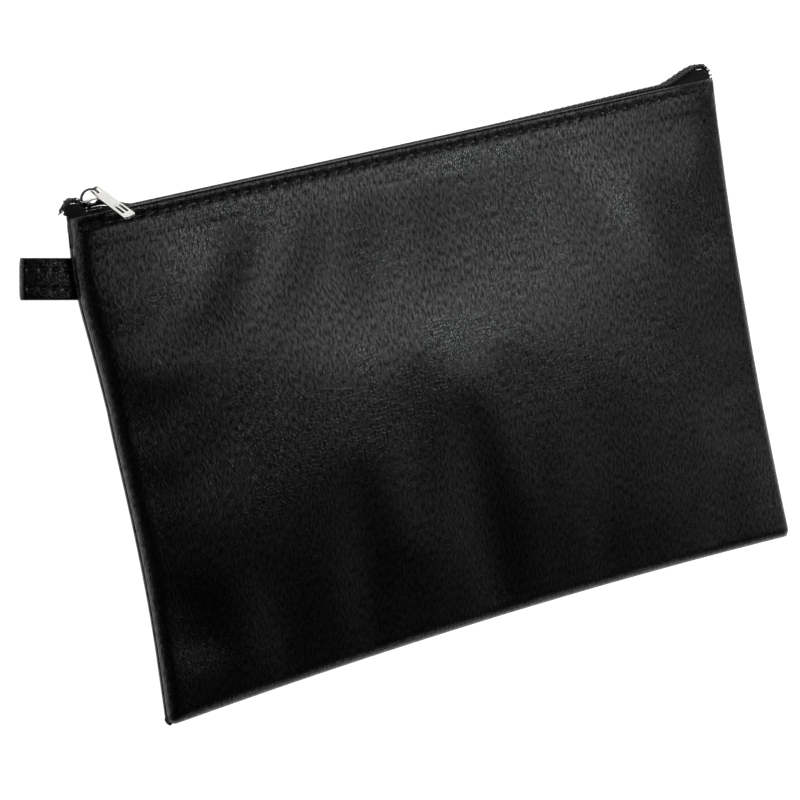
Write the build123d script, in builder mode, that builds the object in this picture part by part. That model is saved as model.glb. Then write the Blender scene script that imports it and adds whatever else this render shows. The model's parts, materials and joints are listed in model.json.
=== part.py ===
"""Cash deposit bag: a flat leatherette pouch, sewn inside out, with a nylon coil zip and a hang loop.

Frame, in millimetres: the bag lies on its back panel.  +X runs along the zip, +Y points at the zip,
+Z is the outward normal of the front panel, and z = 0 is the plane that the bag rests on.
"""

from build123d import *

import os
from math import atan2, cos, degrees, radians, sin

# ---------------------------------------------------------------- driving dimensions
# pouch
BAG_WIDTH = 280.0  # between the side seams
BAG_HEIGHT = 190.0  # bottom seam to the folded hem
SHEET = 1.0  # leatherette with its fabric backing
SEAM_GAP = 0.3  # between the two panels
SEAM_LEVEL = 12.0  # height of the seam plane above the rest plane
FRONT_CROWN = 17.0  # front panel above the seam plane
BACK_CROWN = 15.0  # back panel below it, before the rest plane cuts it flat
BOTTOM_SAG = 3.5  # the bottom edge curves in between its corners
RIGHT_SAG = 3.0  # and so does the right edge
ALLOWANCE = 8.0  # seam allowance turned to the inside
HEM_DEPTH = 11.0  # doubled hem along the mouth

# thread
THREAD = 0.45  # how far a stitch stands on the sheet
THREAD_WIDTH = 0.7
HEM_STITCH_PITCH = 5.3
HEM_STITCH_LENGTH = 4.0
HEM_STITCH_INSET = 4.0  # row of stitches below the hem's fold
SEAM_STITCH_PITCH = 4.0
SEAM_STITCH_LENGTH = 3.0
SEAM_STITCH_INSET = 5.5  # row of stitches from the turned edge
ROW_END = 10.0  # a row of stitches stops short of its edge

# coil zip, number 5
COIL_WIDTH = 2.5  # one half of the chain
COIL_HEIGHT = 1.8
COIL_ROUND = 0.6
COIL_SPLIT = 1.2  # between the two halves
CHAIN_RISE = 2.2  # underside of the coils above the hem
CHAIN_END = 3.0  # the coils stop short of the side seams
CORD_RADIUS = 0.35  # filler cord inside each coil
COIL_THREAD = 0.35
TAPE = 0.5
TAPE_INSET = 0.3  # inner edge of the tape behind the coil's inner edge
TAPE_DEPTH = 11.0  # tape behind the hem
TAPE_END = 20.0  # the tape's upright leg stops short of the side seams

# slider and pull
SLIDER_LENGTH = 10.5
SHOULDER = 1.6  # corner cut of the nose
TAIL_WIDTH = 5.4
PLATE = 0.9
DOME = 0.75  # slope of each wing from its pad to its edges
PAD_WIDTH = 2.8
SLIDER_GAP = 0.3  # all round the chain
SLIDER_WEB = 0.6
WEB_LENGTH = 4.0
LIP = 0.5
LIP_DROP = 1.0
LIP_GAP = 0.4  # between the flange and the front coil
SLIDER_INSET = 8.5  # slider's middle from the left seam with the zip closed
ARCH_RADIUS = 3.8  # middle of the bridge's strap
ARCH_SINK = 0.45  # centre of the arch below the top plate's face
ARCH_WIDTH = 1.6
ARCH_THICK = 0.7
PULL_LENGTH = 22.0  # from the middle of the eye to the tip
PULL_WIDTH = 4.4
PULL_NECK = 4.2
PULL_THICK = 0.9
PULL_CHAMFER = 0.25
TIP_CHAMFER = 0.9
EYE_LENGTH = 4.0
EYE_WIDTH = 2.8
EYE_WALL = 0.7
SLOT_LENGTH = 5.4
SLOT_WIDTH = 0.9
SLOT_SPACING = 1.7
SLOT_PLACE = 16.0  # middle of the two slots from the middle of the eye
EYE_ANGLE = 42.0  # place of the eye on the arch
PULL_HEADING = 80.0  # the pull points to the right and over the front panel
PULL_FALL = 2.127  # how far it drops between the arch and the top plate's edge
PULL_ROLL = 15.0

# hang loop
LOOP_WIDTH = 15.2
LOOP_LENGTH = 20.8
LOOP_PLY = 1.2
LOOP_SPACE = 1.6  # between the plies
LOOP_DROP = 22.2  # middle of the loop below the hem
LOOP_TILT = 12.0  # sewn in askew, pointing up a little
LOOP_DROOP = 8.0  # hanging towards the rest plane
LOOP_CLEAR = 0.3
LOOP_TAIL = 8.0  # tails caught inside the seam
TAIL_PRESS = 0.05  # the back panel presses on them
LOOP_STITCH_INSET = 4.2
LOOP_STITCH_PITCH = 4.4
LOOP_STITCH_LENGTH = 3.2
LOOP_STITCH_END = 3.0

# ---------------------------------------------------------------- worked-out places
HALF_WIDTH = BAG_WIDTH / 2
HALF_HEIGHT = BAG_HEIGHT / 2
FRONT = 1
BACK = -1
LAP = 1.0  # how far a cutting solid runs past what it cuts
COIL_INNER = COIL_SPLIT / 2
COIL_OUTER = COIL_INNER + COIL_WIDTH
COIL_BOTTOM = HALF_HEIGHT + CHAIN_RISE
COIL_TOP = COIL_BOTTOM + COIL_HEIGHT
COIL_LENGTH = BAG_WIDTH - 2 * CHAIN_END
SLIDER_WIDTH = 2 * (COIL_OUTER + LIP_GAP + LIP)
PULL_DROOP = degrees(atan2(PULL_FALL, SLIDER_WIDTH / 2))
TAPE_INNER = SLIDER_WIDTH / 2 + SLIDER_GAP
TAPE_OUTER = TAPE_INNER + TAPE
HEM_OUTER = TAPE_OUTER + 2 * SHEET
SLIDER_REST = SLIDER_INSET - HALF_WIDTH
PLATE_TOP = COIL_TOP + SLIDER_GAP + PLATE
WING_FACE = COIL_BOTTOM - TAPE - SLIDER_GAP  # upper face of the slider's bottom wing
ARCH_MIDDLE = Vector(SLIDER_REST, PLATE_TOP - ARCH_SINK, SEAM_LEVEL)
LOOP_MIDDLE = HALF_HEIGHT - LOOP_DROP
LOOP_RADIUS = LOOP_SPACE / 2 + LOOP_PLY
SLOT_TOP = SEAM_GAP / 2 + SHEET  # loop's tails lie under the back panel's seam allowance
SLOT_BOTTOM = SLOT_TOP + 2 * LOOP_PLY
EDGE_WALL = SLOT_BOTTOM + SHEET - TAIL_PRESS  # turned edge of a panel, from the seam plane

os.makedirs("parts", exist_ok=True)


def save(piece, label):
    """Label a finished piece and write it to its own file."""
    piece.part.label = label
    export_step(piece.part, f"parts/{label}.step")


def level(side, height):
    """Z of a point at a height above the seam plane, to the front (1) or to the back (-1)."""
    return SEAM_LEVEL + side * height


def spread(span, pitch):
    """Number of stitches that fill a row of this length at about this pitch."""
    return round(span / pitch)


# ---------------------------------------------------------------- panels
def pillow(side, inset, crown, hem, low, high, top):
    """Half of a pillow: the outline, from low to high, under a crosswise and a lengthwise arch."""
    wall = level(side, EDGE_WALL - inset)
    peak = level(side, crown)
    mouth = level(side, hem)
    reach = HALF_WIDTH - inset
    foot = -HALF_HEIGHT + inset
    fold = HALF_HEIGHT - HEM_DEPTH
    with BuildPart() as half:
        with BuildSketch(Plane.XY.offset(low)):
            with BuildLine():
                ThreePointArc((-reach, foot), (0, foot + BOTTOM_SAG), (reach, foot))
                ThreePointArc((reach, foot), (reach - RIGHT_SAG, 0), (reach, HALF_HEIGHT))
                Polyline(
                    (reach, HALF_HEIGHT),
                    (reach, HALF_HEIGHT + LAP),
                    (-reach, HALF_HEIGHT + LAP),
                    (-reach, foot),
                )
            make_face()
        extrude(amount=high - low)
        with BuildSketch(Plane.XZ):
            with BuildLine():
                ThreePointArc((-reach, wall), (0, peak), (reach, wall))
                Polyline((reach, wall), (reach, SEAM_LEVEL), (-reach, SEAM_LEVEL), (-reach, wall))
            make_face()
        extrude(amount=BAG_HEIGHT, both=True, mode=Mode.INTERSECT)
        with BuildSketch(Plane.YZ):
            with BuildLine():
                ThreePointArc((foot, wall), ((foot + fold) / 2, peak), (fold, mouth))
                Polyline(
                    (fold, mouth),
                    (top, mouth),
                    (top, SEAM_LEVEL),
                    (foot, SEAM_LEVEL),
                    (foot, wall),
                )
            make_face()
        extrude(amount=BAG_WIDTH, both=True, mode=Mode.INTERSECT)
    return half.part


def panel(skin, cavity, side):
    """One panel: the skin around its cavity, and the seam allowance turned in along three edges."""
    rim = HALF_WIDTH - SHEET / 2
    foot = -HALF_HEIGHT + SHEET / 2
    with BuildPart() as piece:
        add(skin)
        add(cavity, mode=Mode.SUBTRACT)
        with BuildSketch(Plane.XY.offset(level(side, SEAM_GAP / 2))):
            with BuildLine():
                ThreePointArc((-rim, foot), (0, foot + BOTTOM_SAG), (rim, foot))
                ThreePointArc((rim, foot), (rim - RIGHT_SAG, 0), (rim, HALF_HEIGHT))
                Polyline((rim, HALF_HEIGHT), (-rim, HALF_HEIGHT), (-rim, foot))
            make_face()
            with Locations((0, ALLOWANCE + BOTTOM_SAG)):
                Rectangle(
                    BAG_WIDTH - 2 * (ALLOWANCE + RIGHT_SAG),
                    BAG_HEIGHT,
                    mode=Mode.SUBTRACT,
                )
        extrude(amount=side * SHEET)
    return piece


TAIL_LEVEL = level(BACK, (SLOT_TOP + SLOT_BOTTOM) / 2)

front_skin = pillow(
    FRONT, 0, FRONT_CROWN, HEM_OUTER,
    level(FRONT, SEAM_GAP / 2), level(FRONT, FRONT_CROWN + LAP), HALF_HEIGHT,
)
front_cavity = pillow(
    FRONT, SHEET, FRONT_CROWN - SHEET, TAPE_OUTER,
    SEAM_LEVEL, level(FRONT, FRONT_CROWN), HALF_HEIGHT + LAP,
)
back_skin = pillow(
    BACK, 0, BACK_CROWN, HEM_OUTER,
    0, level(BACK, SEAM_GAP / 2), HALF_HEIGHT,
)
back_cavity = pillow(
    BACK, SHEET, BACK_CROWN - SHEET, TAPE_OUTER,
    SHEET, SEAM_LEVEL, HALF_HEIGHT + LAP,
)

front_panel = panel(front_skin, front_cavity, FRONT)
save(front_panel, "front_panel")

back_panel = panel(back_skin, back_cavity, BACK)
with back_panel:
    # slit in the left edge where the loop's tails go through the seam
    with Locations((-HALF_WIDTH + SHEET / 2, LOOP_MIDDLE, TAIL_LEVEL)):
        Box(SHEET + LAP, LOOP_WIDTH, SLOT_BOTTOM - SLOT_TOP, mode=Mode.SUBTRACT)
save(back_panel, "back_panel")


# ---------------------------------------------------------------- stitches
def stitch_bars(plane, places, length, label):
    """Stitches of one length lying on a plane, each at a place along the plane's X."""
    with BuildPart() as row:
        with BuildSketch(plane):
            with Locations(*places):
                SlotOverall(length, THREAD_WIDTH)
        extrude(amount=THREAD)
    save(row, label)


def topstitch(side, label):
    """Row of long stitches through the hem and the zip tape, seen on the hem's face."""
    span = BAG_WIDTH - 2 * TAPE_END
    count = spread(span, HEM_STITCH_PITCH)
    face = Plane(origin=(0, 0, level(side, HEM_OUTER)), x_dir=(1, 0, 0), z_dir=(0, 0, side))
    across = side * (HALF_HEIGHT - HEM_STITCH_INSET)
    places = [(span * (n / (count - 1) - 0.5), across) for n in range(count)]
    stitch_bars(face, places, HEM_STITCH_LENGTH, label)


topstitch(FRONT, "topstitch_front")
topstitch(BACK, "topstitch_back")


def side_seam(sign, label):
    """Stitches down one side seam, under the back allowance or under the loop's tails."""
    span = BAG_HEIGHT - 2 * ROW_END
    count = spread(span, SEAM_STITCH_PITCH)
    across = sign * (HALF_WIDTH - SEAM_STITCH_INSET)
    tail = LOOP_WIDTH / 2 + SEAM_STITCH_LENGTH / 2
    with BuildPart() as row:
        for n in range(count):
            along = span * (n / (count - 1) - 0.5)
            under_tail = sign < 0 and abs(along - LOOP_MIDDLE) < tail
            depth = SLOT_BOTTOM if under_tail else SEAM_GAP / 2 + SHEET
            if under_tail and abs(along - LOOP_MIDDLE) > tail - SEAM_STITCH_LENGTH:
                continue
            with BuildSketch(Plane.XY.offset(level(BACK, depth))):
                with Locations((across, along)):
                    SlotOverall(SEAM_STITCH_LENGTH, THREAD_WIDTH, rotation=90)
            extrude(amount=-THREAD)
    save(row, label)


side_seam(-1, "seam_thread_left")
side_seam(1, "seam_thread_right")

bottom_span = BAG_WIDTH - 2 * ROW_END
bottom_count = spread(bottom_span, SEAM_STITCH_PITCH)
bottom_line = -HALF_HEIGHT + BOTTOM_SAG + SEAM_STITCH_INSET
allowance_face = Plane(
    origin=(0, 0, level(BACK, SEAM_GAP / 2 + SHEET)), x_dir=(1, 0, 0), z_dir=(0, 0, -1)
)
stitch_bars(
    allowance_face,
    [(bottom_span * (n / (bottom_count - 1) - 0.5), -bottom_line) for n in range(bottom_count)],
    SEAM_STITCH_LENGTH,
    "seam_thread_bottom",
)


# ---------------------------------------------------------------- zip
def zip_half(side, name):
    """Tape, coil, filler cord and coil thread of one side of the zip."""
    with BuildPart() as tape:
        with BuildSketch(Plane.YZ):
            with BuildLine():
                Polyline(
                    (COIL_BOTTOM, level(side, COIL_INNER + TAPE_INSET)),
                    (COIL_BOTTOM, level(side, TAPE_OUTER)),
                    (COIL_BOTTOM - TAPE, level(side, TAPE_OUTER)),
                    (COIL_BOTTOM - TAPE, level(side, COIL_INNER + TAPE_INSET)),
                    close=True,
                )
            make_face()
        extrude(amount=COIL_LENGTH / 2, both=True)
        with BuildSketch(Plane.YZ):
            leg_middle = (COIL_BOTTOM + HALF_HEIGHT - TAPE_DEPTH) / 2
            with Locations((leg_middle, level(side, TAPE_OUTER - TAPE / 2))):
                Rectangle(TAPE_DEPTH + CHAIN_RISE, TAPE)
        extrude(amount=HALF_WIDTH - TAPE_END, both=True)
    save(tape, f"zipper_tape_{name}")

    middle = (COIL_BOTTOM + COIL_HEIGHT / 2, level(side, COIL_INNER + COIL_WIDTH / 2))
    with BuildPart() as coil:
        with BuildSketch(Plane.YZ):
            with Locations(middle):
                RectangleRounded(COIL_HEIGHT, COIL_WIDTH, COIL_ROUND)
                Circle(CORD_RADIUS, mode=Mode.SUBTRACT)
        extrude(amount=COIL_LENGTH / 2, both=True)
    save(coil, f"coil_{name}")

    with BuildPart() as cord:
        with BuildSketch(Plane.YZ):
            with Locations(middle):
                Circle(CORD_RADIUS)
        extrude(amount=COIL_LENGTH / 2, both=True)
    save(cord, f"coil_cord_{name}")

    with BuildPart() as thread:
        with BuildSketch(Plane.YZ):
            with Locations((COIL_BOTTOM + COIL_THREAD / 2, level(side, COIL_OUTER + COIL_THREAD / 2))):
                Rectangle(COIL_THREAD, COIL_THREAD)
        extrude(amount=COIL_LENGTH / 2, both=True)
    save(thread, f"coil_thread_{name}")


zip_half(FRONT, "front")
zip_half(BACK, "back")


# ---------------------------------------------------------------- slider
def plate_plane(height):
    """Plane across the zip at a height, centred on the slider, its normal along +Y."""
    return Plane(origin=(SLIDER_REST, height, SEAM_LEVEL), x_dir=(1, 0, 0), z_dir=(0, 1, 0))


# outline of a wing, wide at the nose and narrow at the tail
with BuildSketch() as wing:
    with BuildLine():
        Polyline(
            (-SLIDER_LENGTH / 2, SHOULDER - SLIDER_WIDTH / 2),
            (SHOULDER - SLIDER_LENGTH / 2, -SLIDER_WIDTH / 2),
            (0, -SLIDER_WIDTH / 2),
            (SLIDER_LENGTH / 2, -TAIL_WIDTH / 2),
            (SLIDER_LENGTH / 2, TAIL_WIDTH / 2),
            (0, SLIDER_WIDTH / 2),
            (SHOULDER - SLIDER_LENGTH / 2, SLIDER_WIDTH / 2),
            (-SLIDER_LENGTH / 2, SLIDER_WIDTH / 2 - SHOULDER),
            close=True,
        )
    make_face()

with BuildPart() as slider_body:
    with BuildSketch(plate_plane(COIL_TOP + SLIDER_GAP)):
        add(wing.sketch)
    extrude(amount=PLATE)
    with BuildSketch(plate_plane(WING_FACE)):
        add(wing.sketch)
    extrude(amount=-PLATE)
    # both wings slope from a narrow pad down to thin edges
    with BuildSketch(Plane.YZ.offset(SLIDER_REST)):
        with BuildLine():
            Polyline(
                (PLATE_TOP, SEAM_LEVEL + PAD_WIDTH / 2),
                (PLATE_TOP - DOME, SEAM_LEVEL + SLIDER_WIDTH / 2),
                (WING_FACE - PLATE + DOME, SEAM_LEVEL + SLIDER_WIDTH / 2),
                (WING_FACE - PLATE, SEAM_LEVEL + PAD_WIDTH / 2),
                (WING_FACE - PLATE, SEAM_LEVEL - PAD_WIDTH / 2),
                (WING_FACE - PLATE + DOME, SEAM_LEVEL - SLIDER_WIDTH / 2),
                (PLATE_TOP - DOME, SEAM_LEVEL - SLIDER_WIDTH / 2),
                (PLATE_TOP, SEAM_LEVEL - PAD_WIDTH / 2),
                close=True,
            )
        make_face()
    extrude(amount=SLIDER_LENGTH, both=True, mode=Mode.INTERSECT)
    # neck between the two halves of the chain
    with BuildSketch(plate_plane(WING_FACE)):
        with Locations(((WEB_LENGTH - SLIDER_LENGTH) / 2 + SHOULDER / 2, 0)):
            SlotOverall(WEB_LENGTH, SLIDER_WEB)
    extrude(amount=TAPE + COIL_HEIGHT + 2 * SLIDER_GAP)
    # flange that guides the front coil
    with BuildSketch(plate_plane(COIL_TOP + SLIDER_GAP)):
        with Locations(((SHOULDER - SLIDER_LENGTH / 2) / 2, -(SLIDER_WIDTH - LIP) / 2)):
            Rectangle(SLIDER_LENGTH / 2 - SHOULDER, LIP)
    extrude(amount=-LIP_DROP)
save(slider_body, "slider_body")

with BuildPart() as slider_bridge:
    with BuildSketch(Plane.XY.offset(SEAM_LEVEL)):
        with Locations((ARCH_MIDDLE.X, ARCH_MIDDLE.Y)):
            Circle(ARCH_RADIUS + ARCH_THICK / 2)
            Circle(ARCH_RADIUS - ARCH_THICK / 2, mode=Mode.SUBTRACT)
        # only the part above the top plate is left
        with Locations((ARCH_MIDDLE.X, PLATE_TOP)):
            Rectangle(
                2 * (ARCH_RADIUS + ARCH_THICK),
                2 * ARCH_RADIUS,
                align=(Align.CENTER, Align.MAX),
                mode=Mode.SUBTRACT,
            )
    extrude(amount=ARCH_WIDTH / 2, both=True)
save(slider_bridge, "slider_bridge")

# ---------------------------------------------------------------- pull
eye_angle = radians(EYE_ANGLE)
eye_middle = ARCH_MIDDLE + Vector(cos(eye_angle), sin(eye_angle), 0) * ARCH_RADIUS
heading = radians(PULL_HEADING)
droop = radians(PULL_DROOP)
roll = radians(PULL_ROLL)
pull_axis = Vector(cos(droop) * cos(heading), -sin(droop), cos(droop) * sin(heading))
pull_side = Vector(sin(heading), 0, -cos(heading))
pull_normal = pull_axis.cross(pull_side) * cos(roll) - pull_side * sin(roll)
pull_plane = Plane(origin=eye_middle, x_dir=pull_axis, z_dir=pull_normal)

with BuildPart() as pull_tab:
    with BuildSketch(pull_plane):
        with BuildLine():
            eye_end = -EYE_LENGTH / 2 - EYE_WALL
            Polyline(
                (eye_end, -PULL_NECK / 2 + EYE_WALL),
                (eye_end + EYE_WALL, -PULL_NECK / 2),
                (EYE_LENGTH, -PULL_NECK / 2),
                (SLOT_PLACE - SLOT_LENGTH / 2, -PULL_WIDTH / 2),
                (PULL_LENGTH - TIP_CHAMFER, -PULL_WIDTH / 2),
                (PULL_LENGTH, -PULL_WIDTH / 2 + TIP_CHAMFER),
                (PULL_LENGTH, PULL_WIDTH / 2 - TIP_CHAMFER),
                (PULL_LENGTH - TIP_CHAMFER, PULL_WIDTH / 2),
                (SLOT_PLACE - SLOT_LENGTH / 2, PULL_WIDTH / 2),
                (EYE_LENGTH, PULL_NECK / 2),
                (eye_end + EYE_WALL, PULL_NECK / 2),
                (eye_end, PULL_NECK / 2 - EYE_WALL),
                close=True,
            )
        make_face()
        RectangleRounded(EYE_LENGTH, EYE_WIDTH, EYE_WIDTH / 3, mode=Mode.SUBTRACT)
        with Locations((SLOT_PLACE, -SLOT_SPACING / 2), (SLOT_PLACE, SLOT_SPACING / 2)):
            SlotOverall(SLOT_LENGTH, SLOT_WIDTH, mode=Mode.SUBTRACT)
    extrude(amount=PULL_THICK / 2, both=True)
    pull_faces = pull_tab.faces().sort_by(SortBy.AREA)[-2:]
    chamfer([face.outer_wire().edges() for face in pull_faces], PULL_CHAMFER)
save(pull_tab, "pull_tab")

# ---------------------------------------------------------------- hang loop
loop_root = Vector(-HALF_WIDTH - LOOP_CLEAR - LOOP_RADIUS, LOOP_MIDDLE, TAIL_LEVEL)
tilt = radians(LOOP_TILT)
sag = radians(LOOP_DROOP)
loop_axis = Vector(-cos(sag) * cos(tilt), cos(sag) * sin(tilt), -sin(sag))
loop_normal = Vector(-sin(sag) * cos(tilt), sin(sag) * sin(tilt), cos(sag))
loop_side = loop_axis.cross(loop_normal)
loop_run = LOOP_LENGTH - LOOP_RADIUS
root_lap = LOOP_WIDTH * sin(tilt)  # the strap runs past its root, which is then cut square to the seam

with BuildPart() as loop_strap:
    # strap folded over on itself
    with BuildSketch(Plane(origin=loop_root, x_dir=loop_axis, z_dir=loop_side)):
        with Locations(((loop_run - root_lap) / 2, 0)):
            Rectangle(loop_run + root_lap, 2 * LOOP_RADIUS)
            Rectangle(loop_run + root_lap, LOOP_SPACE, mode=Mode.SUBTRACT)
        with Locations((loop_run, 0)):
            Circle(LOOP_RADIUS)
            Circle(LOOP_SPACE / 2, mode=Mode.SUBTRACT)
        with Locations((loop_run / 2, 0)):
            Rectangle(loop_run, LOOP_SPACE, mode=Mode.SUBTRACT)
    extrude(amount=LOOP_WIDTH / 2, both=True)
    split(bisect_by=Plane(origin=loop_root, x_dir=(0, 1, 0), z_dir=(-1, 0, 0)), keep=Keep.TOP)
    # rolled root where the two plies are pressed together beside the seam
    with BuildSketch(Plane(origin=loop_root, x_dir=(1, 0, 0), z_dir=(0, 1, 0))):
        Circle(LOOP_RADIUS)
    extrude(amount=LOOP_WIDTH / 2, both=True)
save(loop_strap, "loop_strap")


def loop_stitches(across, label):
    """One row of stitches along the loop, seen on both of its outer faces."""
    span = loop_run - 2 * LOOP_STITCH_END
    count = spread(span, LOOP_STITCH_PITCH) + 1
    with BuildPart() as row:
        for face in (FRONT, BACK):
            centre = loop_root + loop_normal * (face * LOOP_RADIUS) + loop_axis * (loop_run / 2)
            plane = Plane(origin=centre, x_dir=loop_axis, z_dir=loop_normal * face)
            rise = -face * across
            places = [(span * (n / (count - 1) - 0.5), rise) for n in range(count)]
            with BuildSketch(plane):
                with Locations(*places):
                    SlotOverall(LOOP_STITCH_LENGTH, THREAD_WIDTH)
            extrude(amount=THREAD)
    save(row, label)


loop_stitches(LOOP_WIDTH / 2 - LOOP_STITCH_INSET, "loop_stitch_upper")
loop_stitches(LOOP_STITCH_INSET - LOOP_WIDTH / 2, "loop_stitch_lower")

with BuildPart() as loop_tail:
    for ply in (0, 1):
        depth = SLOT_TOP + (ply + 0.5) * LOOP_PLY
        with Locations((-HALF_WIDTH + (SHEET + LOOP_TAIL) / 2, LOOP_MIDDLE, level(BACK, depth))):
            Box(SHEET + LOOP_TAIL, LOOP_WIDTH, LOOP_PLY)
save(loop_tail, "loop_tail")
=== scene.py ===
import json
from math import cos, pi, radians, sin

import bpy
import numpy as np
from mathutils import Matrix, Vector


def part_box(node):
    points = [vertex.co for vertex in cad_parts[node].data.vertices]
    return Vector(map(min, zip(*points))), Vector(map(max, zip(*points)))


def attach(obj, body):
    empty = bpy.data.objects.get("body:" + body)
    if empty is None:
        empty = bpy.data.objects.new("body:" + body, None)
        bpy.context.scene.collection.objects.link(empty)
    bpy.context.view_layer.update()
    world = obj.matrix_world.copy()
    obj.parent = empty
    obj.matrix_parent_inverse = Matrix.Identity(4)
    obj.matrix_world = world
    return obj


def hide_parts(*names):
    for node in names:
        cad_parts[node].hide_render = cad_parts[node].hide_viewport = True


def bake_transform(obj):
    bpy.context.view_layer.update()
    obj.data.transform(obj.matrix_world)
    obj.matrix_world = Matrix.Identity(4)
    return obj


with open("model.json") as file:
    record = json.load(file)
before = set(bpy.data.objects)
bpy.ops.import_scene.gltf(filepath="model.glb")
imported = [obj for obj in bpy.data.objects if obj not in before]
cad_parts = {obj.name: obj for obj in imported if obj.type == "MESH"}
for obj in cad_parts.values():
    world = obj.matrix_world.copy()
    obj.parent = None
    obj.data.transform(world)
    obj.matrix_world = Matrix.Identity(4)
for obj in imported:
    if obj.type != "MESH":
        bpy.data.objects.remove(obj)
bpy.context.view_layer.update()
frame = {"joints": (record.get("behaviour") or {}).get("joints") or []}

MM = 0.001

# ---------------------------------------------------------------- places taken from the frame
front_low, front_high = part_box("front_panel")
back_low, back_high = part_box("back_panel")
coil_low, coil_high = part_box("coil_front")
LEFT = front_low[0]
RIGHT = front_high[0]
FOOT = front_low[1]
MOUTH = front_high[1]
SEAM = (front_low[2] + back_high[2]) / 2
CROWN = front_high[2] - SEAM
REST = SEAM - back_low[2]
COIL_MIDDLE = (coil_low[1] + coil_high[1]) / 2
slider_low, slider_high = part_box("slider_body")
SLIDER_X = (slider_low[0] + slider_high[0]) / 2
joints = {joint["name"]: joint for joint in frame["joints"]}

# ---------------------------------------------------------------- sizes of the sewn work
SHEET = 0.95 * MM
WALL = 4.5 * MM  # height of each rolled edge over the seam
ROLL = 5.0 * MM  # its depth, from the outline inwards
LIP = 1.1 * MM  # height of the widest point of a roll
CURL = 0.9 * MM  # radius that dives into the seam
SEAM_HALF = 0.15 * MM  # half the gap between the two sheets in the seam
ALLOWANCE = 8 * MM
HEM = 6.8 * MM  # outer face of the hem over the seam plane
HEM_END = 2.9 * MM  # pinched into the side seams
HEM_DEPTH = 11 * MM
FOLD = 1.0 * MM
STITCH_LINE = 4.0 * MM  # topstitch below the fold
STITCH_PITCH = 5.3 * MM
STITCH_LENGTH = 4.3 * MM
STITCH_END = 6 * MM
THREAD_RADIUS = 0.34 * MM
CELL = 1.325 * MM  # a quarter of a stitch
CORNER = 3.2 * MM
LEFT_SWAY = 1.7 * MM
RIGHT_SAG = 3.3 * MM
FOOT_SAG = 3.4 * MM

# chain of the zip
CHAIN_LEVEL = 94.0 * MM  # middle of the coils between the ends
COIL_PITCH = 1.4 * MM
COIL_REACH = 1.75 * MM  # half width of a coil, heads included
COIL_RISE = 0.62 * MM
COIL_CENTRE = 1.5 * MM  # from the seam plane
WIRE = 0.3 * MM
CORE = 0.38 * MM
TAPE = 0.45 * MM


def ease(low, high, x):
    """Smooth step from 0 at low to 1 at high."""
    t = np.clip((x - low) / (high - low), 0, 1)
    return t * t * (3 - 2 * t)


def bell(middle, width, x):
    """Smooth bump of height 1."""
    return np.exp(-(((x - middle) / width) ** 2))


def hashed(n, seed):
    """Repeatable noise in -1..1 for item n."""
    return 2 * ((np.sin(n * 12.9898 + seed * 78.233) * 43758.5453) % 1) - 1


# ---------------------------------------------------------------- meshes
def make_object(name, points, faces, material, smooth=True):
    mesh = bpy.data.meshes.new(name)
    mesh.from_pydata([tuple(p) for p in points], [], [tuple(f) for f in faces])
    mesh.polygons.foreach_set("use_smooth", [smooth] * len(mesh.polygons))
    mesh.materials.append(material)
    obj = bpy.data.objects.new(name, mesh)
    bpy.context.scene.collection.objects.link(obj)
    return obj


def grid_faces(rows, columns, around=False, start=0):
    """Quads over a grid of points, closed across the columns if around is set."""
    i, j = np.meshgrid(np.arange(rows - 1), np.arange(columns if around else columns - 1), indexing="ij")
    k = (j + 1) % columns
    quads = np.stack([i * columns + j, i * columns + k, (i + 1) * columns + k, (i + 1) * columns + j], -1)
    return quads.reshape(-1, 4) + start


def grid_object(name, points, material, flip=False, sheet=None, edge_highlight=None):
    """A sheet from a (rows, columns, 3) array, with its flat coordinates and its mask of painted edge
    highlight kept on the points.
    """
    rows, columns = points.shape[:2]
    faces = grid_faces(rows, columns)
    if flip:
        faces = faces[:, ::-1]
    obj = make_object(name, points.reshape(-1, 3), faces, material)
    if sheet is not None:
        flat = obj.data.attributes.new("sheet", "FLOAT_VECTOR", "POINT")
        flat.data.foreach_set("vector", sheet.reshape(-1).astype(np.float32))
    if edge_highlight is not None:
        highlight_mask = obj.data.attributes.new("edge_highlight", "FLOAT", "POINT")
        highlight_mask.data.foreach_set("value", edge_highlight.reshape(-1).astype(np.float32))
    return obj


def apply_modifiers(obj):
    """Replace the mesh of an object by what its modifiers make of it."""
    graph = bpy.context.evaluated_depsgraph_get()
    graph.update()
    shown = obj.evaluated_get(graph)
    mesh = bpy.data.meshes.new_from_object(shown, preserve_all_data_layers=True, depsgraph=graph)
    obj.modifiers.clear()
    old = obj.data
    obj.data = mesh
    bpy.data.meshes.remove(old)
    return obj


def thicken(obj, thickness, lining=None):
    """Give a sheet its thickness, inwards, with another material on its inner face."""
    if lining is not None:
        obj.data.materials.append(lining)
    solid = obj.modifiers.new("thickness", "SOLIDIFY")
    solid.thickness = thickness
    solid.offset = -1
    solid.use_even_offset = False
    solid.material_offset = 1 if lining is not None else 0
    solid.material_offset_rim = 0
    return apply_modifiers(obj)


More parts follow.
